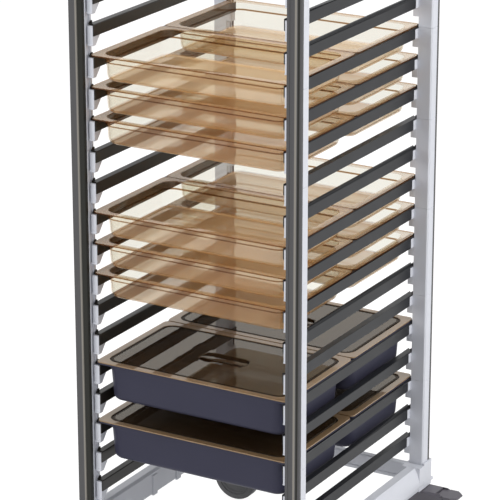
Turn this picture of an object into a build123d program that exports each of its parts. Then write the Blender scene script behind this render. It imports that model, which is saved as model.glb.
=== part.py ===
from build123d import *
import os
from math import radians, sqrt, tan

# Rolling rack cart for food containers: four posts built from stacked plastic modules behind
# metal cover strips, black slide rails carried on clips, moulded base and top frames, swivel
# casters, and the translucent and dark food pans that slide in from both ends.
# All sizes are millimetres. The floor is Z = 0, X runs across the cart, Y from front to rear.

# Rack
level_count = 18
levels_per_module = 3
level_pitch = 76.2
pan_side_gap = 4.0
pan_end_setback = 20.5

# Posts
post_width = 38.0
cover_depth = 11.0
cover_wall = 2.5
cover_corner = 3.0
cover_groove_width = 7.0
cover_groove_place = 12.0
cover_groove_depth = 1.2
body_depth = 28.0
body_corner = 3.5
body_groove_width = 17.0
body_groove_depth = 4.0
body_groove_setback = 4.0
module_gap = 0.3

# Clips and rails
clip_width = 15.3
clip_depth = 32.0
clip_height = 47.5
clip_foot_depth = 12.0
clip_setback = 21.5
clip_ledge_height = 4.0
clip_ledge_depth = 1.6
rail_width = 17.7
rail_height = 28.0
rail_wall = 2.7
rail_top_thickness = 4.0
rail_edge = 1.5
rail_tongue_setback = 5.5
end_stop_width = 2.8
end_stop_length = 12.0
end_stop_height = 6.0
seat_gap = 0.3

# Base and top frames
caster_height = 155.0
frame_height = 63.0
corner_overhang = 5.0
corner_inset = 8.0
corner_length = 70.0
corner_edge = 4.0
collar_height = 4.5
collar_gap = 0.3
beam_inner_edge = 6.0
beam_top_width = 22.0
beam_round = 27.0
beam_end_setback = 39.0
beam_foot_edge = 4.0
beam_foot_height = 10.0
beam_inset = 1.0
beam_bulge_out = 0.72
beam_bulge_down = 0.4
beam_rib_width = 20.0
beam_rib_depth = 3.0
beam_rib_drop = 4.0
beam_rib_spacing = 114.0
cross_thickness = 21.0
cross_setback = 30.0
cross_height = 44.0
top_cross_height = 32.0
top_mouth_height = 26.0
cross_panel_depth = 2.5
cross_lip_height = 9.0
cross_panel_top = 6.0
cross_panel_end = 12.0
cross_edge = 3.0
stud_radius = 5.0
stud_length = 14.0
stud_height = 8.0
stud_inset = 1.0

# Casters
wheel_radius = 62.5
wheel_width = 32.0
wheel_trail = 40.0
fork_width = 56.0
fork_leg = 6.0
fork_crown = 22.0
fork_front = 32.0
fork_tail = 78.0
fork_edge = 5.0
fork_axle_boss = 17.0
fork_foot_drop = 15.0
fork_foot_edge = 9.0
swivel_gap = 2.3
swivel_setback = 4.0
swivel_flange_radius = 21.0
kingpin_radius = 8.0
axle_radius = 6.0
running_gap = 0.06
pedal_drop = 4.0
pedal_thickness = 7.0
pedal_reach = 38.0
pedal_edge = 9.0
pedal_tongue_width = 42.0
pedal_tongue_length = 14.0
pedal_pin_radius = 3.0
pedal_pin_inset = 6.0
pedal_side_gap = 0.6
pedal_slot_room = 3.0
pedal_plate_inset = 2.0
pedal_slope = 4.2
shoe_width = 20.0
shoe_length = 12.0
shoe_height = 45.0
shoe_gap = 0.5

# Food pans
pan_length = 530.0
pan_width = 325.0
pan_flange = 17.5
pan_flange_thickness = 3.0
pan_flange_corner = 13.0
pan_wall = 2.8
pan_wall_corner = 33.0
pan_draft = 4.0
pan_bottom_edge = 7.0
pan_row_gap = 3.0
pan_rest_gap = 0.3
amber_pan_depth = 65.0
dark_pan_depth = 100.0
amber_levels = (8, 9, 10, 13, 14, 15)
dark_levels = (3, 5)

# Lids
lid_margin = 1.0
lid_thickness = 3.0
lid_plug_gap = 2.0
lid_panel_depth = 2.0
lid_grip_length = 128.0
lid_grip_width = 58.0
lid_grip_depth = 14.0
lid_bar_width = 16.0
lid_rest_gap = 0.3

# A corner is cut twice, which leaves three flats that touch a round of the corner's radius
corner_turn = radians(90 / 4)
corner_cut = 2 - sqrt(2)
corner_recut = tan(corner_turn) - tan(corner_turn / 2)

# Places that follow from the sizes above
rack_depth = 2 * (pan_width + pan_end_setback) + pan_row_gap
post_inner = pan_length / 2 + pan_side_gap
post_outer = post_inner + post_width
post_end = rack_depth / 2
cover_inner = post_end - cover_depth
body_inner = cover_inner - body_depth
clip_front = post_end - clip_setback
clip_back = clip_front - clip_depth
rail_inner = post_inner - clip_width - seat_gap - rail_wall
frame_bottom = caster_height
frame_top = frame_bottom + frame_height
module_height = levels_per_module * level_pitch
module_count = level_count // levels_per_module
top_frame_bottom = frame_top + module_count * module_height
top_frame_top = top_frame_bottom + frame_height
corner_outer = post_outer + corner_overhang
corner_end = post_end + corner_overhang
corner_inner = post_inner - corner_inset
corner_back = corner_end - corner_length
beam_end = post_end - beam_end_setback
swivel_x = post_inner + post_width / 2
swivel_y = post_end - (cover_depth + body_depth) / 2 - swivel_setback
fork_top = frame_bottom - swivel_gap
axle_low = wheel_radius - fork_foot_drop
pan_center = (pan_width + pan_row_gap) / 2

ends = {"front": -1, "rear": 1}
sides = {"left": -1, "right": 1}
trail_ways = {"front_left": -1, "front_right": 1, "rear_left": 1, "rear_right": 1}
braked_casters = ("front_left", "rear_right")


def rail_top(level):
    return frame_top + level * level_pitch


def block(x_range, y_range, z_range):
    size = [high - low for low, high in (x_range, y_range, z_range)]
    low = [pair[0] for pair in (x_range, y_range, z_range)]
    return Pos(*low) * Box(*size, align=(Align.MIN, Align.MIN, Align.MIN))


def rod(radius, low, high, x=0.0, y=0.0):
    return Pos(x, y, low) * Cylinder(radius, high - low, align=(Align.CENTER, Align.CENTER, Align.MIN))


def cross_rod(radius, low, high, x, z):
    turned = Rot(-90, 0, 0) * Cylinder(radius, high - low, align=(Align.CENTER, Align.CENTER, Align.MIN))
    return Pos(x, low, z) * turned


def rounded(length, width, corner, z):
    face = Rectangle(length, width)
    face = chamfer(face.vertices(), corner * corner_cut)
    face = chamfer(face.vertices(), corner * corner_recut)
    return Pos(0, 0, z) * face


def slab(length, width, corner, low, high):
    return extrude(rounded(length, width, corner, low), amount=high - low)


def place(piece, side, end):
    if side < 0:
        piece = mirror(piece, about=Plane.YZ)
    if end < 0:
        piece = mirror(piece, about=Plane.XZ)
    return piece


# Posts
def post_cover(bottom, top):
    face = Pos((post_inner + post_outer) / 2, (cover_inner + post_end) / 2) * Rectangle(post_width, cover_depth)
    outer_corners = face.vertices().group_by(Axis.Y)[-1]
    face = fillet(outer_corners, cover_corner)
    channel = Pos((post_inner + post_outer) / 2, cover_inner + (cover_depth - cover_wall) / 2)
    face -= channel * Rectangle(post_width - 2 * cover_wall, cover_depth - cover_wall)
    groove = Pos(post_inner + cover_groove_place, post_end - cover_groove_depth / 2)
    face -= groove * Rectangle(cover_groove_width, cover_groove_depth)
    return extrude(Pos(0, 0, bottom) * face, amount=top - bottom)


def post_module(bottom, top):
    middle = Pos((post_inner + post_outer) / 2, (body_inner + cover_inner) / 2)
    face = middle * Rectangle(post_width, body_depth)
    outer_corner = face.vertices().group_by(Axis.Y)[0].sort_by(Axis.X)[-1]
    face = chamfer(outer_corner, body_corner)
    spine_width = post_width - 2 * (cover_wall + seat_gap)
    spine_depth = cover_depth - cover_wall - seat_gap
    face += Pos((post_inner + post_outer) / 2, cover_inner + spine_depth / 2) * Rectangle(spine_width, spine_depth)
    groove_y = cover_inner - body_groove_setback - body_groove_width / 2
    face -= Pos(post_inner + body_groove_depth / 2, groove_y) * Rectangle(body_groove_depth, body_groove_width)
    return extrude(Pos(0, 0, bottom) * face, amount=top - bottom)


# Clips and rails, drawn with the rail's top at Z = 0. A front clip's foot slopes up to the rail.
# A rear clip's foot is as deep as the post behind it and hides there.
def clip(sloped):
    top = -rail_top_thickness - seat_gap
    bottom = -rail_top_thickness - clip_height
    ledge_end = clip_front + clip_ledge_depth
    ledge_top = bottom + clip_ledge_height
    outline = [(clip_front, top), (clip_front, ledge_top), (ledge_end, ledge_top), (ledge_end, bottom)]
    if sloped:
        outline += [(clip_front - clip_foot_depth, bottom)]
    else:
        outline += [(body_inner, bottom), (body_inner, -rail_height)]
    outline += [(clip_back, -rail_height), (clip_back, top)]
    profile = make_face(Polyline(*[(post_inner, y, z) for y, z in outline], close=True))
    return extrude(profile, amount=clip_width, dir=(-1, 0, 0))


def rail():
    outer = rail_inner + rail_width
    end = clip_front - seat_gap
    face = Pos(rail_inner + rail_width / 2, -rail_height / 2) * Rectangle(rail_width, rail_height)
    inner_corner = face.vertices().group_by(Axis.Y)[-1].sort_by(Axis.X)[0]
    face = chamfer(inner_corner, rail_edge)
    hollow_height = rail_height - rail_top_thickness
    hollow = Pos(rail_inner + rail_width / 2, hollow_height / 2 - rail_height)
    face -= hollow * Rectangle(rail_width - 2 * rail_wall, hollow_height)
    bar = extrude(Plane.XZ.offset(-end) * face, amount=2 * end)
    tongue_end = clip_front - rail_tongue_setback
    for sign in (-1, 1):
        room = sorted((sign * (clip_back - seat_gap), sign * (end + 1)))
        bar -= block((rail_inner + rail_wall, outer + 1), room, (-rail_height - 1, -rail_top_thickness))
        lip = sorted((sign * tongue_end, sign * (end + 1)))
        bar -= block((rail_inner + rail_wall, outer + 1), lip, (-rail_height - 1, 1))
    return bar


def rail_end_stop():
    outer = rail_inner + rail_width
    tongue_end = clip_front - rail_tongue_setback
    outline = [(tongue_end, 0), (tongue_end - end_stop_height, end_stop_height)]
    outline += [(tongue_end - end_stop_length, end_stop_height), (tongue_end - end_stop_length, 0)]
    profile = make_face(Polyline(*[(outer, y, z) for y, z in outline], close=True))
    return extrude(profile, amount=end_stop_width, dir=(-1, 0, 0))


# Base and top frames
def beam_profile(y):
    low = frame_bottom
    high = frame_top
    inner = post_inner + beam_inset
    shoulder = inner + beam_inner_edge + beam_top_width
    outer_low = low + beam_foot_height
    bulge_x = shoulder + (corner_outer - shoulder) * beam_bulge_out
    bulge_z = high - (high - outer_low) * beam_bulge_down
    edges = Polyline((shoulder, y, high), (inner + beam_inner_edge, y, high), (inner, y, high - beam_inner_edge),
                     (inner, y, low), (corner_outer - beam_foot_edge, y, low), (corner_outer, y, outer_low))
    side = ThreePointArc((corner_outer, y, outer_low), (bulge_x, y, bulge_z), (shoulder, y, high))
    return make_face(edges + side)


def side_beam(gap=0.0):
    length = 2 * (beam_end + gap)
    beam = extrude(beam_profile(beam_end + gap), amount=length, dir=(0, -1, 0))
    middle = Plane.YZ * Pos(0, (frame_bottom + frame_top) / 2)
    side_view = middle * RectangleRounded(length, frame_height + 2 * gap, beam_round)
    return beam & extrude(side_view, amount=2 * corner_outer)


def ribbed_side_beam():
    beam = side_beam()
    inner = post_inner + beam_inset
    for sign in (-1, 1):
        middle = sign * beam_rib_spacing / 2
        y_range = (middle - beam_rib_width / 2, middle + beam_rib_width / 2)
        z_range = (frame_bottom - beam_rib_drop, frame_top - 2 * beam_inner_edge)
        beam += block((inner - beam_rib_depth, inner + beam_rib_depth), y_range, z_range)
    return beam


def cross_beam(low, high):
    outer = post_end - cross_setback
    inner = outer - cross_thickness
    beam = block((-corner_inner, corner_inner), (inner, outer), (low, high))
    beam = chamfer(beam.edges().filter_by(Axis.X).group_by(Axis.Z)[-1], cross_edge)
    panel_x = corner_inner - cross_panel_end
    panel_z = (low + cross_lip_height, high - cross_panel_top)
    beam -= block((-panel_x, panel_x), (inner - 1, inner + cross_panel_depth), panel_z)
    return beam


def corner():
    piece = block((corner_inner, corner_outer), (corner_back, corner_end), (frame_bottom, frame_top))
    upright = piece.edges().filter_by(Axis.Z).group_by(Axis.X)[-1].sort_by(Axis.Y)[-1]
    piece = fillet(upright, corner_edge)
    collar = block((post_outer + collar_gap, corner_outer), (body_inner, corner_end), (frame_top, frame_top + collar_height))
    collar += block((post_inner, corner_outer), (post_end + collar_gap, corner_end), (frame_top, frame_top + collar_height))
    outer_upright = collar.edges().filter_by(Axis.Z).group_by(Axis.X)[-1].sort_by(Axis.Y)[-1]
    piece += fillet(outer_upright, corner_edge)
    return piece - side_beam(seat_gap)


def top_corner():
    mouth = block((0, post_inner), (0, corner_end + 1), (frame_top - top_mouth_height, frame_top + collar_height + 1))
    return top_frame(corner() - mouth)


def top_frame(piece):
    flipped = mirror(piece, about=Plane.XY.offset((frame_bottom + frame_top) / 2))
    return Pos(0, 0, top_frame_bottom - frame_bottom) * flipped


def corner_stud():
    height = frame_bottom + stud_height
    face = Plane.XZ.offset(-corner_end) * Pos(post_outer - stud_inset, height) * RegularPolygon(stud_radius, 6)
    return extrude(face, amount=-stud_length)


# Casters, drawn with the swivel at the origin and the wheel trailing towards +X
def caster_kingpin():
    flange = rod(swivel_flange_radius, fork_top + seat_gap, frame_bottom)
    return flange + rod(kingpin_radius, fork_top - fork_crown - seat_gap, frame_bottom)


def caster_fork(with_pedal):
    crown_low = fork_top - fork_crown
    half = fork_width / 2
    leg_inner = half - fork_leg
    outline = [(-fork_front, fork_top), (-fork_front, crown_low), (wheel_trail - fork_axle_boss, wheel_radius)]
    outline += [(wheel_trail - fork_axle_boss, axle_low), (wheel_trail + fork_axle_boss, axle_low)]
    outline += [(wheel_trail + fork_axle_boss, wheel_radius), (fork_tail, crown_low), (fork_tail, fork_top)]
    face = make_face(Polyline(*[(x, z) for x, z in outline], close=True))
    feet = face.vertices().group_by(Axis.Y)[0]
    face = chamfer(feet, fork_foot_edge)
    fork = extrude(Plane.XZ.offset(-half) * face, amount=fork_width)
    fork = chamfer(fork.edges().filter_by(Axis.Z, reverse=True).group_by(Axis.Z)[-1], fork_edge)
    fork -= block((-fork_front - 1, fork_tail + 1), (-leg_inner, leg_inner), (0, crown_low))
    fork -= rod(kingpin_radius + running_gap, crown_low - 1, fork_top + 1)
    fork += cross_rod(axle_radius, -leg_inner, leg_inner, wheel_trail, wheel_radius)
    if with_pedal:
        slot_half = pedal_tongue_width / 2 + pedal_side_gap
        slot_x = fork_tail - pedal_tongue_length - pedal_slot_room
        fork -= block((slot_x, fork_tail + 1), (-slot_half, slot_half), (crown_low - 1, fork_top + 1))
        fork += cross_rod(pedal_pin_radius, -slot_half, slot_half, *pedal_pin_place())
    return fork


def caster_wheel():
    half = wheel_width / 2
    tyre = cross_rod(wheel_radius, -half, half, wheel_trail, wheel_radius)
    return tyre - cross_rod(axle_radius + running_gap, -wheel_width, wheel_width, wheel_trail, wheel_radius)


def pedal_pin_place():
    return fork_tail - pedal_pin_inset, fork_top - pedal_drop - pedal_thickness / 2


def brake_pedal():
    pin_x, pin_z = pedal_pin_place()
    top = fork_top - pedal_drop
    low = top - pedal_thickness
    tongue_half = pedal_tongue_width / 2
    plate_start = fork_tail + pedal_plate_inset
    tongue_x = (fork_tail - pedal_tongue_length, plate_start + 1)
    tongue = block(tongue_x, (-tongue_half, tongue_half), (low, top))
    plate_width = fork_width - pedal_plate_inset
    plate = Pos(plate_start + pedal_reach / 2, 0, low) * Rectangle(pedal_reach, plate_width)
    plate = chamfer(plate.vertices().group_by(Axis.X)[-1], pedal_edge)
    plate = extrude(plate, amount=pedal_thickness, dir=(0, 0, 1))
    plate = chamfer(plate.edges().group_by(Axis.Z)[-1].sort_by(Axis.X)[-3:], pedal_slope)
    shoe_x = (pin_x - shoe_length / 2, pin_x + shoe_length / 2)
    shoe = block(shoe_x, (-shoe_width / 2, shoe_width / 2), (low - shoe_height, low + 1))
    shoe -= cross_rod(wheel_radius + shoe_gap, -wheel_width, wheel_width, wheel_trail, wheel_radius)
    pedal = tongue + plate + shoe
    return pedal - cross_rod(pedal_pin_radius + running_gap, -fork_width, fork_width, pin_x, pin_z)


# Food pans, drawn with the flange's underside at Z = 0 and the middle at the origin
def tapered_tub(inset, top, floor, bottom_edge):
    length = pan_length - 2 * (pan_flange + inset)
    width = pan_width - 2 * (pan_flange + inset)
    mouth = rounded(length, width, pan_wall_corner - inset, top)
    tub = extrude(mouth, amount=top - floor, dir=(0, 0, -1), taper=pan_draft)
    return chamfer(tub.faces().sort_by(Axis.Z)[0].edges(), bottom_edge)


def food_pan(depth):
    floor = pan_flange_thickness - depth
    flange = slab(pan_length, pan_width, pan_flange_corner, 0, pan_flange_thickness)
    outside = tapered_tub(0.0, 0.0, floor, pan_bottom_edge)
    inside = tapered_tub(pan_wall, pan_flange_thickness, floor + pan_wall, pan_bottom_edge - pan_wall / 2)
    return flange + outside - inside


def lid_step(inset, low, high):
    start = pan_flange + pan_wall + lid_plug_gap + inset
    corner_radius = pan_wall_corner - pan_wall - lid_plug_gap - inset
    return slab(pan_length - 2 * start, pan_width - 2 * start, corner_radius, low, high)


def pan_lid():
    length = pan_length - 2 * lid_margin
    width = pan_width - 2 * lid_margin
    lid = slab(length, width, pan_flange_corner - lid_margin, 0, lid_thickness)
    lid += lid_step(0.0, -lid_panel_depth - lid_thickness, 0)
    lid -= lid_step(lid_thickness, -lid_panel_depth, lid_thickness + 1)
    corner_radius = lid_grip_width / 2 - lid_thickness
    grip = slab(lid_grip_length, lid_grip_width, corner_radius, -lid_grip_depth, -lid_panel_depth)
    cup = slab(lid_grip_length - 2 * lid_thickness, lid_grip_width - 2 * lid_thickness,
               corner_radius - lid_thickness, lid_thickness - lid_grip_depth, 1)
    bar = block((-lid_grip_length / 2, lid_grip_length / 2), (-lid_bar_width / 2, lid_bar_width / 2),
                (-lid_grip_depth, 0))
    return lid + grip - cup + bar


def at_levels(piece):
    return [Pos(0, 0, rail_top(level)) * piece for level in range(1, level_count + 1)]


# Export
def write(name, solids):
    group = Compound(label=name, children=list(solids)) if len(solids) > 1 else solids[0]
    export_step(group, f"parts/{name}.step")


def write_frame():
    for side_name, side in sides.items():
        stops = [piece for end in ends.values() for piece in at_levels(place(rail_end_stop(), side, end))]
        write(f"{side_name}_rails", at_levels(place(rail(), side, 1)) + stops)
        write(f"base_side_beam_{side_name}", [place(ribbed_side_beam(), side, 1)])
        for end_name, end in ends.items():
            post = f"{end_name}_{side_name}"
            cover = post_cover(frame_top, top_frame_bottom)
            write(f"post_cover_{post}", [place(cover, side, end)])
            modules = []
            for index in range(module_count):
                low = frame_top + index * module_height
                modules.append(place(post_module(low, low + module_height - module_gap), side, end))
            write(f"post_modules_{post}", modules)
            write(f"rail_clips_{post}", at_levels(place(clip(end_name == "front"), side, end)))
            write(f"base_corner_{post}", [place(corner(), side, end)])
            write(f"top_corner_{post}", [place(top_corner(), side, end)])
    for end_name, end in ends.items():
        write(f"base_cross_beam_{end_name}", [place(cross_beam(frame_top - cross_height, frame_top), 1, end)])
    write("top_side_beams", [place(top_frame(side_beam()), side, 1) for side in sides.values()])
    top_cross = cross_beam(top_frame_top - top_cross_height, top_frame_top)
    write("top_cross_beams", [place(top_cross, 1, end) for end in ends.values()])
    corners = [(side, end) for side in sides.values() for end in ends.values()]
    write("corner_studs", [place(corner_stud(), side, end) for side, end in corners])
    write("caster_kingpins", [place(Pos(swivel_x, swivel_y) * caster_kingpin(), side, end) for side, end in corners])


def write_casters():
    for side_name, side in sides.items():
        for end_name, end in ends.items():
            corner_name = f"{end_name}_{side_name}"
            braked = corner_name in braked_casters
            way = trail_ways[corner_name]
            spot = Pos(side * swivel_x, end * swivel_y)
            write(f"caster_fork_{corner_name}", [spot * place(caster_fork(braked), way, 1)])
            write(f"caster_wheel_{corner_name}", [spot * place(caster_wheel(), way, 1)])
            if braked:
                write(f"brake_pedal_{corner_name}", [spot * place(brake_pedal(), way, 1)])


def write_contents():
    amber = food_pan(amber_pan_depth)
    dark = food_pan(dark_pan_depth)
    lid = pan_lid()
    for end_name, end in ends.items():
        for level in amber_levels + dark_levels:
            spot = Pos(0, end * pan_center, rail_top(level) + pan_rest_gap)
            if level in amber_levels:
                write(f"amber_pan_{level:02d}_{end_name}", [spot * amber])
            else:
                write(f"dark_pan_{level:02d}_{end_name}", [spot * dark])
                lift = Pos(0, 0, pan_flange_thickness + lid_rest_gap)
                write(f"pan_lid_{level:02d}_{end_name}", [lift * spot * lid])


os.makedirs("parts", exist_ok=True)
write_frame()
write_casters()
write_contents()
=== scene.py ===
import math

import bpy
from mathutils import Matrix, Vector


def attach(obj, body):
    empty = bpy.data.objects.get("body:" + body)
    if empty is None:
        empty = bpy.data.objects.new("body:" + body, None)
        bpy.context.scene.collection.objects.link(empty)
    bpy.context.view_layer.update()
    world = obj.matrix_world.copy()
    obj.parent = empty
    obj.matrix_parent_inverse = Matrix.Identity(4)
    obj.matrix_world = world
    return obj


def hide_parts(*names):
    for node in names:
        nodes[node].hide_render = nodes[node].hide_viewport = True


# Rolling rack cart for food pans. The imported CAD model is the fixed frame. Moulded and metal
# parts keep their CAD shape with softened edges, and the pans, lids and wheels are modelled
# here in full. Sizes are in metres, with Z up and the front of the cart towards -Y.

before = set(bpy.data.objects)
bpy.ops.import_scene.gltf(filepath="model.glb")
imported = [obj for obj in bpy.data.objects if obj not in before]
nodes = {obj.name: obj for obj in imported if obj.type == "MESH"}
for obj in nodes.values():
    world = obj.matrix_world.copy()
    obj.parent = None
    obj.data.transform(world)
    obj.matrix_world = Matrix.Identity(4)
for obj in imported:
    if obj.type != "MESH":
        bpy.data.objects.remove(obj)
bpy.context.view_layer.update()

ends = {"front": -1, "rear": 1}
sides = {"left": -1, "right": 1}
level_pitch = 0.0762
frame_top = 0.218
amber_levels = (8, 9, 10, 13, 14, 15)
dark_levels = (3, 5)

pan_length = 0.530
pan_width = 0.325
pan_middle = 0.164
pan_wall = 0.0028
pan_flange_top = 0.0030
pan_rest = 0.0003
amber_depth = 0.065
dark_depth = 0.100
lid_wall = 0.0026
lid_rest = 0.0036

post_inner = 0.269
cover_width = 0.036
wheel_radius = 0.0625
wheel_width = 0.032
wheel_trail = 0.040
swivel_x = 0.288
swivel_y = 0.3235
trail_ways = {"front_left": -1, "front_right": 1, "rear_left": 1, "rear_right": 1}
braked_casters = ("front_left", "rear_right")

# The CAD pieces that keep their shape: slot, width of the rounded edges and segments across them
soft_kinds = {
    "post_modules": ("pale_plastic", 0.0006, 2),
    "rail_clips": ("pale_plastic", 0.0007, 2),
    "base_corner": ("pale_plastic", 0.0012, 3),
    "top_corner": ("pale_plastic", 0.0012, 3),
    "post_cover": ("cover_metal", 0.0004, 2),
    "caster_fork": ("caster_plastic", 0.0012, 3),
    "brake_pedal": ("caster_plastic", 0.0006, 2),
    "base_side_beam": ("pale_plastic", 0.0012, 3),
    "rails": ("rail_plastic", 0.0005, 2),
    "base_cross_beam": ("pale_plastic", 0.0010, 2),
    "top_side_beams": ("pale_plastic", 0.0012, 3),
    "top_cross_beams": ("pale_plastic", 0.0010, 2),
    "corner_studs": ("pale_plastic", 0.0008, 2),
    "caster_kingpins": ("steel", 0.0006, 2),
}


def rail_top(level):
    return frame_top + level * level_pitch


# Shader maths

class Value:
    def __init__(self, tree, socket):
        self.tree = tree
        self.socket = socket

    def maths(self, operation, *others):
        node = self.tree.nodes.new("ShaderNodeMath")
        node.operation = operation
        for place, item in zip(node.inputs, (self, *others)):
            if isinstance(item, Value):
                self.tree.links.new(item.socket, place)
            else:
                place.default_value = item
        return Value(self.tree, node.outputs[0])

    def __add__(self, other):
        return self.maths("ADD", other)

    def __sub__(self, other):
        return self.maths("SUBTRACT", other)

    def __mul__(self, other):
        return self.maths("MULTIPLY", other)

    def __rsub__(self, other):
        return (self * -1.0) + other

    __radd__ = __add__

    def over(self, limit, blur):
        """0 below the limit and 1 above it, over a short slope."""
        return ((self - limit) * (1.0 / blur) + 0.5).maths("MAXIMUM", 0.0).maths("MINIMUM", 1.0)

    def between(self, low, high, blur):
        return self.over(low, blur) * (1.0 - self.over(high, blur))


class Finish:
    """One material and the few calls that its shader is written with."""

    def __init__(self, name):
        self.material = bpy.data.materials.new(name)
        self.material.use_nodes = True
        self.tree = self.material.node_tree
        self.tree.nodes.clear()
        self.output = self.tree.nodes.new("ShaderNodeOutputMaterial")
        coordinates = self.node("ShaderNodeTexCoord")
        self.place = coordinates.outputs["Object"]
        parts = self.node("ShaderNodeSeparateXYZ", Vector=self.place)
        self.x, self.y, self.z = (Value(self.tree, parts.outputs[axis]) for axis in "XYZ")

    def node(self, kind, settings=None, **sockets):
        """A new node. A socket is given by its name with _ for a space, or by i and its number."""
        made = self.tree.nodes.new(kind)
        for key, value in (settings or {}).items():
            setattr(made, key, value)
        for key, value in sockets.items():
            numbered = key[0] == "i" and key[1:].isdigit()
            socket = made.inputs[int(key[1:]) if numbered else key.replace("_", " ")]
            if isinstance(value, Value):
                self.tree.links.new(value.socket, socket)
            elif isinstance(value, bpy.types.NodeSocket):
                self.tree.links.new(value, socket)
            else:
                socket.default_value = value
        return made

    def noise(self, scale, detail=3.0, stretch=None):
        place = self.place
        if stretch:
            place = self.node("ShaderNodeMapping", Vector=self.place, Scale=stretch).outputs[0]
        made = self.node("ShaderNodeTexNoise", Vector=place, Scale=scale, Detail=detail)
        return Value(self.tree, made.outputs[0])

    def blend(self, factor, low, high):
        made = self.node("ShaderNodeMix", {"data_type": "RGBA"}, i0=factor, i6=low, i7=high)
        return made.outputs[2]

    def level_face(self):
        """1 on faces that lie flat and 0 on upright ones."""
        normal = self.node("ShaderNodeNewGeometry").outputs["Normal"]
        facing = self.node("ShaderNodeSeparateXYZ", Vector=normal)
        return Value(self.tree, facing.outputs["Z"]).maths("ABSOLUTE").over(0.7, 0.3)

    def bump(self, height, strength, distance):
        made = self.node("ShaderNodeBump", Height=height, Strength=strength, Distance=distance)
        return made.outputs[0]

    def principled(self, **sockets):
        return self.node("ShaderNodeBsdfPrincipled", **sockets).outputs[0]

    def mix(self, factor, first, second):
        return self.node("ShaderNodeMixShader", i0=factor, i1=first, i2=second).outputs[0]

    def done(self, shader):
        self.tree.links.new(shader, self.output.inputs[0])
        return self.material


def rgb(red, green, blue):
    """A linear colour from the sRGB values that show on a screen."""
    curve = [value / 12.92 if value <= 0.04045 else ((value + 0.055) / 1.055) ** 2.4
             for value in (red / 255, green / 255, blue / 255)]
    return (*curve, 1.0)


def moulded_plastic(name, base, shade, roughness, grain=900.0, specular=0.4):
    finish = Finish(name)
    cloud = finish.noise(9.0)
    fine = finish.noise(grain, 2.0)
    colour = finish.blend(cloud, base, shade)
    shader = finish.principled(Base_Color=colour, Roughness=cloud * 0.12 + (roughness - 0.06),
                               Specular_IOR_Level=specular,
                               Normal=finish.bump(fine, 0.18, 0.0002))
    return finish.done(shader)


def rail_black():
    """Black plastic, with painted warm shade on the left rails, which lie in the shade of the
    pans.
    """
    finish = Finish("rail_plastic")
    cloud = finish.noise(12.0)
    # Painted shade: the left rails (x below 0) get the browner colour, the right rails the plain
    # black.
    right = finish.x.over(0.0, 0.1)
    colour = finish.blend(right, rgb(36, 33, 30), rgb(32, 33, 36))
    fine = finish.noise(900.0, 2.0)
    shader = finish.principled(Base_Color=colour, Roughness=cloud * 0.12 + 0.34,
                               Specular_IOR_Level=0.28, Normal=finish.bump(fine, 0.12, 0.0002))
    return finish.done(shader)


def brushed_steel():
    finish = Finish("steel")
    streaks = finish.noise(300.0, 3.0)
    colour = finish.blend(streaks, rgb(168, 168, 170), rgb(190, 190, 192))
    shader = finish.principled(Base_Color=colour, Metallic=1.0, Roughness=streaks * 0.15 + 0.25)
    return finish.done(shader)


def cover_metal():
    """Grey extruded strip with a painted highlight band and a painted shade line.

    The painted highlight stands for light on the strip's rounded corner, and the painted shade
    for the cover's side return in shadow. They are placed from left to right over the strip, as
    seen from the strip's own end of the cart. On the left post of each end the painted highlight
    is moved and the painted shade is wider.
    """
    # Edges across the strip of the painted highlight band and of the painted shade line
    highlight_low, highlight_high, left_highlight_move = 0.0215, 0.0268, 0.0050
    shade_low, shade_high, left_shade_low, left_shade_high = 0.0290, 0.0345, 0.0075, 0.0100
    finish = Finish("cover_metal")
    turned = finish.x * (1.0 - finish.y.over(0.0, 0.1) * 2.0)
    left = 1.0 - turned.over(0.0, 0.1)
    from_inside = turned.maths("ABSOLUTE") - post_inner
    across = from_inside + left * (cover_width - from_inside * 2.0)
    # Masks of the painted highlight band and the painted shade line
    light = (across + left * left_highlight_move).between(highlight_low, highlight_high, 0.002)
    dark = across.between(shade_low - left * left_shade_low, shade_high + left * left_shade_high,
                          0.001)
    streaks = finish.noise(60.0, 4.0, (40.0, 40.0, 0.6))
    colour = finish.blend(streaks, rgb(78, 78, 80), rgb(91, 90, 91))
    # The painted highlight colour, then the painted shade colour
    colour = finish.blend(light, colour, rgb(138, 134, 127))
    colour = finish.blend(dark, colour, rgb(46, 46, 43))
    shader = finish.principled(Base_Color=colour, Metallic=0.12, Roughness=streaks * 0.12 + 0.40,
                               Specular_IOR_Level=0.15)
    return finish.done(shader)


def outline_distance(finish, half_length, half_width, corner):
    """Distance in the plane from a pan's rounded outline, negative inside it."""
    along = (finish.y.maths("ABSOLUTE") - pan_middle).maths("ABSOLUTE")
    x = finish.x.maths("ABSOLUTE") - (half_length - corner)
    y = along - (half_width - corner)
    out_x, out_y = x.maths("MAXIMUM", 0.0), y.maths("MAXIMUM", 0.0)
    reach = (out_x * out_x + out_y * out_y).maths("SQRT")
    return reach + x.maths("MAXIMUM", y).maths("MINIMUM", 0.0) - corner


def pan_zones(finish):
    """The dense rim and shoulder line, and the frosted floor and flange, on every level alike."""
    wrap_top = 0.0043
    rim_corner, rim_line = 0.013, -0.0008
    shoulder_low, shoulder_high, shoulder_share = -0.0174, -0.0142, 0.8
    flange_bottom, flange_share = -0.001, 0.6
    frost_top = -0.050
    height = (finish.z - frame_top).maths("WRAP", wrap_top, wrap_top - level_pitch)
    outline = outline_distance(finish, pan_length / 2, pan_width / 2, rim_corner)
    rim = outline.over(rim_line, 0.0006)
    shoulder = height.between(shoulder_low, shoulder_high, 0.0006)
    floor = 1.0 - height.over(frost_top, 0.004)
    flange = height.over(flange_bottom, 0.001) * flange_share
    marked = rim.maths("MAXIMUM", shoulder * shoulder_share)
    return marked, floor.maths("MAXIMUM", flange) * finish.level_face()


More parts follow.
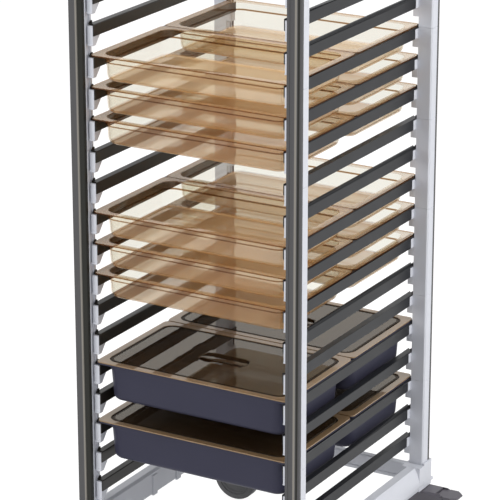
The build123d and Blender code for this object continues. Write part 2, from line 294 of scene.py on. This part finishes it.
def lid_zones(finish):
    """The dark channel and grip slots, and the milky border outside the channel."""
    channel_inner, channel_outer, border_from = -0.0075, 0.0022, 0.0024
    slot_low, slot_high, slot_half_length = 0.0100, 0.0270, 0.060
    distance = outline_distance(finish, 0.2448, 0.1423, 0.028)
    across = (finish.y.maths("ABSOLUTE") - pan_middle).maths("ABSOLUTE")
    beside = finish.x.maths("ABSOLUTE").over(slot_half_length, 0.003)
    slots = across.between(slot_low, slot_high, 0.003) * (1.0 - beside)
    channel = distance.between(channel_inner, channel_outer, 0.001)
    return channel.maths("MAXIMUM", slots), distance.over(border_from, 0.001)


def tinted_plastic(name, tint, deep, bodies, hazes, gloss, zones):
    """Clear coloured plastic: light goes straight through it, deeper in colour where it is dense.

    The two bodies and hazes are the colour and the share of a milky body, first where the
    plastic is clear and then where it is frosted.
    """
    finish = Finish(name)
    slant = Value(finish.tree, finish.node("ShaderNodeLayerWeight", Blend=0.5).outputs["Facing"])
    marked, frosted = zones(finish)
    dense = slant.maths("POWER", 6.0).maths("MAXIMUM", marked)
    thin = finish.node("ShaderNodeBsdfTransparent", Color=tint).outputs[0]
    thick = finish.node("ShaderNodeBsdfTransparent", Color=deep).outputs[0]
    cloud = finish.noise(14.0)
    body = finish.blend(frosted, *bodies)
    milk = finish.principled(Base_Color=body, Roughness=cloud * 0.08 + 0.3)
    milky = cloud * 0.02 + hazes[0] + frosted * (hazes[1] - hazes[0])
    inside = finish.mix(milky, finish.mix(dense, thin, thick), milk)
    shine = finish.node("ShaderNodeBsdfGlossy", Roughness=gloss,
                        Color=(1.0, 0.94, 0.85, 1.0)).outputs[0]
    backfacing = finish.node("ShaderNodeNewGeometry").outputs["Backfacing"]
    outward = 1.0 - Value(finish.tree, backfacing)
    mirror = Value(finish.tree, finish.node("ShaderNodeFresnel", IOR=1.5).outputs[0]) * outward
    return finish.done(finish.mix(mirror * (1.0 - marked * 0.7), inside, shine))


finishes = {
    "pale_plastic": moulded_plastic("pale_plastic", rgb(213, 215, 222), rgb(206, 208, 216), 0.42),
    "rail_plastic": rail_black(),
    "caster_plastic": moulded_plastic("caster_plastic", rgb(98, 95, 102), rgb(88, 85, 92), 0.45),
    "wheel_rubber": moulded_plastic("wheel_rubber", rgb(92, 92, 94), rgb(82, 82, 84), 0.6),
    "dark_plastic": moulded_plastic("dark_plastic", rgb(57, 57, 73), rgb(53, 53, 68), 0.45,
                                    grain=500.0, specular=0.15),
    "cover_metal": cover_metal(),
    "steel": brushed_steel(),
    "amber_plastic": tinted_plastic("amber_plastic", tint=(0.945, 0.945, 0.905, 1.0),
                                    deep=(0.42, 0.25, 0.10, 1.0),
                                    bodies=(rgb(205, 125, 55), rgb(252, 210, 152)),
                                    hazes=(0.04, 0.38), gloss=0.03, zones=pan_zones),
    "lid_plastic": tinted_plastic("lid_plastic", tint=(0.62, 0.50, 0.38, 1.0),
                                  deep=(0.16, 0.09, 0.05, 1.0),
                                  bodies=(rgb(172, 138, 100), rgb(178, 146, 108)),
                                  hazes=(0.06, 0.58), gloss=0.02, zones=lid_zones),
}


# Modelling

def deselect():
    bpy.ops.object.select_all(action="DESELECT")


def work_on(piece):
    deselect()
    piece.select_set(True)
    bpy.context.view_layer.objects.active = piece


def leave():
    bpy.ops.object.mode_set(mode="OBJECT")


def select_whole(piece):
    """Goes into edit mode with all of the piece selected."""
    work_on(piece)
    bpy.ops.object.mode_set(mode="EDIT")
    bpy.ops.mesh.select_all(action="SELECT")


def pick(piece, kind, test):
    """Selects the edges or faces whose corners pass the test, and stays in edit mode."""
    work_on(piece)
    bpy.ops.object.mode_set(mode="EDIT")
    bpy.ops.mesh.select_mode(type=kind)
    bpy.ops.mesh.select_all(action="DESELECT")
    leave()
    mesh = piece.data
    points = [vertex.co for vertex in mesh.vertices]
    for item in {"EDGE": mesh.edges, "FACE": mesh.polygons}[kind]:
        item.select = bool(test([points[index] for index in item.vertices]))
    bpy.ops.object.mode_set(mode="EDIT")


def name_new(name):
    """Names the new primitive and puts its place into its mesh."""
    piece = bpy.context.object
    piece.name = piece.data.name = name
    bpy.ops.object.transform_apply(location=True, rotation=True, scale=True)
    return piece


def new_block(name, low, high):
    deselect()
    low, high = Vector(low), Vector(high)
    bpy.ops.mesh.primitive_cube_add(size=1, location=(low + high) / 2, scale=high - low)
    return name_new(name)


def finish_with(piece, kind, **settings):
    work_on(piece)
    modifier = piece.modifiers.new(kind.title(), kind)
    for key, value in settings.items():
        setattr(modifier, key, value)
    bpy.ops.object.modifier_apply(modifier=modifier.name)


def smooth(piece, degrees=35.0):
    work_on(piece)
    bpy.ops.object.shade_smooth_by_angle(angle=math.radians(degrees))
    finish_with(piece, "WEIGHTED_NORMAL", mode="FACE_AREA", weight=90, keep_sharp=True)


def sheet_to_wall(sheet, thickness, edge_width):
    """Gives a sheet its wall, on its lower side, and softens its sharp edges."""
    finish_with(sheet, "SOLIDIFY", thickness=thickness, offset=-1.0, use_even_offset=True)
    finish_with(sheet, "BEVEL", width=edge_width, segments=2, limit_method="ANGLE",
                angle_limit=math.radians(50.0))


def dress(piece, slot, body, replaced):
    piece.data.materials.clear()
    piece.data.materials.append(finishes[slot])
    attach(piece, body)
    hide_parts(*replaced)


def copied(piece, name, move):
    twin = piece.copy()
    twin.data = piece.data.copy()
    twin.name = twin.data.name = name
    twin.data.transform(Matrix.Translation(move))
    bpy.context.collection.objects.link(twin)
    return twin


def softened(kind, node, body):
    """A CAD node's own shape, merged, with its edges rounded a little."""
    slot, width, segments = soft_kinds[kind]
    piece = bpy.data.objects.new(f"{node}_soft", nodes[node].data.copy())
    bpy.context.collection.objects.link(piece)
    select_whole(piece)
    bpy.ops.mesh.remove_doubles(threshold=0.00001)
    bpy.ops.mesh.dissolve_limited(angle_limit=math.radians(1.0))
    leave()
    finish_with(piece, "BEVEL", width=width, segments=segments, limit_method="ANGLE",
                angle_limit=math.radians(28.0), harden_normals=False)
    smooth(piece)
    dress(piece, slot, body, (node,))


def add_ring(ring):
    """In edit mode, adds the outline of a rectangle with round corners."""
    half_length, half_width, corner, height = ring
    bpy.ops.mesh.select_all(action="DESELECT")
    bpy.ops.mesh.primitive_plane_add(size=2, location=(0, 0, height))
    bpy.ops.transform.resize(value=(half_length, half_width, 1), center_override=(0, 0, height))
    bpy.ops.mesh.bevel(offset=corner, segments=8, affect="VERTICES")


def on_ring(point, ring):
    height_slack, line_slack = 0.00002, 0.00003
    half_length, half_width, corner, height = ring
    x = abs(point.x) - half_length + corner
    y = abs(point.y) - half_width + corner
    reach = math.hypot(x, y) if x > 0 and y > 0 else max(x, y)
    return abs(point.z - height) < height_slack and abs(reach - corner) < line_slack


def ringed_sheet(name, rings):
    """A sheet through rings from its outer edge inwards, closed by a flat face in the last.

    A ring is half its length, half its width, its corner radius and its height.
    """
    deselect()
    bpy.ops.mesh.primitive_plane_add(size=0.001)
    sheet = name_new(name)
    select_whole(sheet)
    bpy.ops.mesh.delete(type="VERT")
    for ring in rings:
        add_ring(ring)
        if ring is not rings[-1]:
            bpy.ops.mesh.delete(type="ONLY_FACE")
    leave()
    for outer, inner in zip(rings, rings[1:]):
        pick(sheet, "EDGE", lambda corners: all(on_ring(point, outer) for point in corners)
             or all(on_ring(point, inner) for point in corners))
        bpy.ops.mesh.bridge_edge_loops()
        leave()
    select_whole(sheet)
    bpy.ops.mesh.normals_make_consistent(inside=False)
    leave()
    if sum(face.normal.z * face.area for face in sheet.data.polygons) < 0:
        sheet.data.flip_normals()
    return sheet


# Frame and forks

def dress_frame():
    """Softens every CAD node apart from the pans, lids and wheels."""
    for side in sides:
        for end in ends:
            post = f"{end}_{side}"
            for kind in ("post_modules", "rail_clips", "base_corner", "top_corner", "post_cover"):
                softened(kind, f"{kind}_{post}", "frame")
            softened("caster_fork", f"caster_fork_{post}", f"caster_fork_{post}")
            if post in braked_casters:
                softened("brake_pedal", f"brake_pedal_{post}", f"brake_pedal_{post}")
        softened("base_side_beam", f"base_side_beam_{side}", "frame")
        softened("rails", f"{side}_rails", "frame")
    for end in ends:
        softened("base_cross_beam", f"base_cross_beam_{end}", "frame")
    for kind in ("top_side_beams", "top_cross_beams", "corner_studs", "caster_kingpins"):
        softened(kind, kind, "frame")


# Food pans, drawn with the flange's underside at Z = 0 and the middle at the origin

def finished_pan(name, depth):
    """Flange, mouth, stacking shoulder, drawn-in wall and a round bottom edge."""
    wall_inset, wall_corner, wall_top = 0.0226, 0.0290, -0.0170
    undrawn_depth, draft = 0.033, 3.0
    edge_radius, edge_steps, edge_step = 0.0125, 6, 15.0
    # Inset from the flange's outline, corner radius and height
    outline = [(0.0000, 0.0130, pan_flange_top), (0.0176, 0.0320, 0.00295),
               (0.0192, 0.0310, 0.0024), (0.0200, 0.0302, 0.0004), (0.0206, 0.0300, -0.0145),
               (wall_inset, wall_corner, wall_top)]
    floor = pan_flange_top - depth + pan_wall
    draw = math.tan(math.radians(draft)) * (depth - undrawn_depth)
    for step in range(edge_steps + 1):
        turn = math.radians(edge_step * step)
        inwards = edge_radius * (1 - math.cos(turn))
        outline.append((wall_inset + draw + inwards, wall_corner - inwards,
                        floor + edge_radius * (1 - math.sin(turn))))
    pan = ringed_sheet(name, [(pan_length / 2 - inset, pan_width / 2 - inset, corner, height)
                              for inset, corner, height in outline])
    sheet_to_wall(pan, pan_wall, 0.0006)
    smooth(pan, 40.0)
    return pan


def place_pans():
    for kind, depth, levels in (("amber", amber_depth, amber_levels),
                                ("dark", dark_depth, dark_levels)):
        pattern = finished_pan(f"{kind}_pan", depth)
        for level in levels:
            for end, sign in ends.items():
                node = f"{kind}_pan_{level:02d}_{end}"
                place = (0, sign * pan_middle, rail_top(level) + pan_rest)
                dress(copied(pattern, f"{node}_shell", place), f"{kind}_plastic", node, (node,))
        bpy.data.objects.remove(pattern)


# Lids, drawn like the pans

def finished_lid():
    """Flat border, a channel round the panel, and a grip pocket with a bar across it."""
    border = [(0.2640, 0.1615, 0.0120, 0.0030), (0.2475, 0.1450, 0.0300, 0.00295)]
    channel = [(0.2463, 0.1438, 0.0290, 0.0006), (0.2432, 0.1407, 0.0265, 0.0004),
               (0.2420, 0.1395, 0.0255, 0.0020), (0.2410, 0.1385, 0.0250, 0.0023)]
    pocket = [(0.0660, 0.0310, 0.0290, 0.00225), (0.0645, 0.0295, 0.0276, 0.0012),
              (0.0625, 0.0275, 0.0256, -0.0085), (0.0600, 0.0250, 0.0230, -0.0100)]
    lid = ringed_sheet("pan_lid", border + channel + pocket)
    sheet_to_wall(lid, lid_wall, 0.0005)
    bar = new_block("lid_bar", (-0.0640, -0.0085, -0.0040), (0.0640, 0.0085, 0.0018))
    finish_with(bar, "BEVEL", width=0.0022, segments=3)
    work_on(lid)
    bar.select_set(True)
    bpy.ops.object.join()
    smooth(lid, 40.0)
    return lid


def place_lids():
    pattern = finished_lid()
    for level in dark_levels:
        for end, sign in ends.items():
            node = f"pan_lid_{level:02d}_{end}"
            place = (0, sign * pan_middle, rail_top(level) + lid_rest)
            dress(copied(pattern, f"{node}_cover", place), "lid_plastic", node, (node,))
    bpy.data.objects.remove(pattern)


# Wheels

def wheel_pattern():
    """A wheel on the Y axis: tyre with rounded shoulders, a rim step, a dish and a hub."""
    # Rings of the two sides from the tyre inwards: how wide each is, and how far it steps out
    side_rings = ((0.009, 0.0), (0.0015, -0.0025), (0.004, 0.0), (0.004, -0.0030), (0.018, 0.0),
                  (0.003, 0.0045), (0.0105, 0.0))
    deselect()
    bpy.ops.mesh.primitive_cylinder_add(vertices=64, radius=wheel_radius, depth=wheel_width,
                                        rotation=(math.radians(90), 0, 0))
    wheel = name_new("wheel")
    side = wheel_width / 2 - 0.0001

    def on_side(corners):
        return min(abs(point.y) for point in corners) > side

    pick(wheel, "EDGE", on_side)
    bpy.ops.mesh.bevel(offset=0.0055, segments=4, affect="EDGES")
    leave()
    pick(wheel, "FACE", lambda corners: on_side(corners) and len(corners) > 8)
    for thickness, depth in side_rings:
        bpy.ops.mesh.inset(thickness=thickness, depth=depth)
    bpy.ops.mesh.bridge_edge_loops()
    leave()
    smooth(wheel, 30.0)
    return wheel


def place_wheels():
    pattern = wheel_pattern()
    for side, side_sign in sides.items():
        for end, end_sign in ends.items():
            node = f"caster_wheel_{end}_{side}"
            trail = trail_ways[f"{end}_{side}"] * wheel_trail
            place = (side_sign * swivel_x + trail, end_sign * swivel_y, wheel_radius)
            dress(copied(pattern, f"{node}_tyre", place), "wheel_rubber", node, (node,))
    bpy.data.objects.remove(pattern)


# Studio

def seen_as_white(tree):
    """1 for rays from the camera, from a mirror and through clear plastic, and 0 for others."""
    path = tree.nodes.new("ShaderNodeLightPath")
    seen = Value(tree, path.outputs["Is Camera Ray"])
    for kind in ("Is Glossy Ray", "Is Transmission Ray"):
        seen = seen.maths("MAXIMUM", Value(tree, path.outputs[kind]))
    return seen


def make_floor():
    white_share, glow_strength = 0.7, 1.3
    deselect()
    bpy.ops.mesh.primitive_plane_add(size=60)
    floor = name_new("floor")
    finish = Finish("floor_white")
    seen = seen_as_white(finish.tree)
    lit = finish.principled(Base_Color=rgb(238, 238, 238), Roughness=0.8)
    glow = finish.node("ShaderNodeEmission", Color=(1.0, 1.0, 1.0, 1.0),
                       Strength=glow_strength).outputs[0]
    floor.data.materials.append(finish.done(finish.mix(seen * white_share, lit, glow)))


def make_world():
    light_strength, white_strength = 0.47, 1.0
    world = bpy.data.worlds.new("studio")
    bpy.context.scene.world = world
    world.use_nodes = True
    tree = world.node_tree
    tree.nodes.clear()
    output = tree.nodes.new("ShaderNodeOutputWorld")
    mixed = tree.nodes.new("ShaderNodeMixShader")
    tree.links.new(seen_as_white(tree).socket, mixed.inputs[0])
    for place, strength in ((1, light_strength), (2, white_strength)):
        background = tree.nodes.new("ShaderNodeBackground")
        background.inputs["Color"].default_value = (1.0, 1.0, 1.0, 1.0)
        background.inputs["Strength"].default_value = strength
        tree.links.new(background.outputs[0], mixed.inputs[place])
    tree.links.new(mixed.outputs[0], output.inputs[0])


def softbox(name, place, size, power):
    """A soft lamp towards the cart's middle, unseen by mirrors."""
    aim = Vector((0, 0, 0.9))
    lamp = bpy.data.lights.new(name, "AREA")
    lamp.shape = "RECTANGLE"
    lamp.size, lamp.size_y = size
    lamp.energy = power
    holder = bpy.data.objects.new(name, lamp)
    holder.location = place
    holder.rotation_euler = (aim - Vector(place)).to_track_quat("-Z", "Y").to_euler()
    holder.visible_glossy = False
    bpy.context.collection.objects.link(holder)


def make_camera():
    down, turn = 18.79, 29.96
    camera = bpy.data.objects.new("camera", bpy.data.cameras.new("camera"))
    camera.data.sensor_width = 36.0
    camera.data.lens = 189.37
    camera.data.clip_end = 100.0
    camera.location = (3.0060, -5.2546, 2.8962)
    camera.rotation_euler = (math.radians(90.0 - down), 0.0, math.radians(turn))
    bpy.context.collection.objects.link(camera)
    bpy.context.scene.camera = camera


dress_frame()
place_pans()
place_lids()
place_wheels()
make_floor()
make_world()
softbox("key", (4.6, 0.3, 3.2), (2.2, 2.2), 125)
softbox("top", (0.4, -0.4, 4.6), (3.0, 3.0), 54)
softbox("front_fill", (-1.6, -4.8, 2.2), (2.4, 2.4), 105)
make_camera()
bpy.context.scene.view_settings.view_transform = "Standard"
bpy.context.scene.cycles.transparent_max_bounces = 48
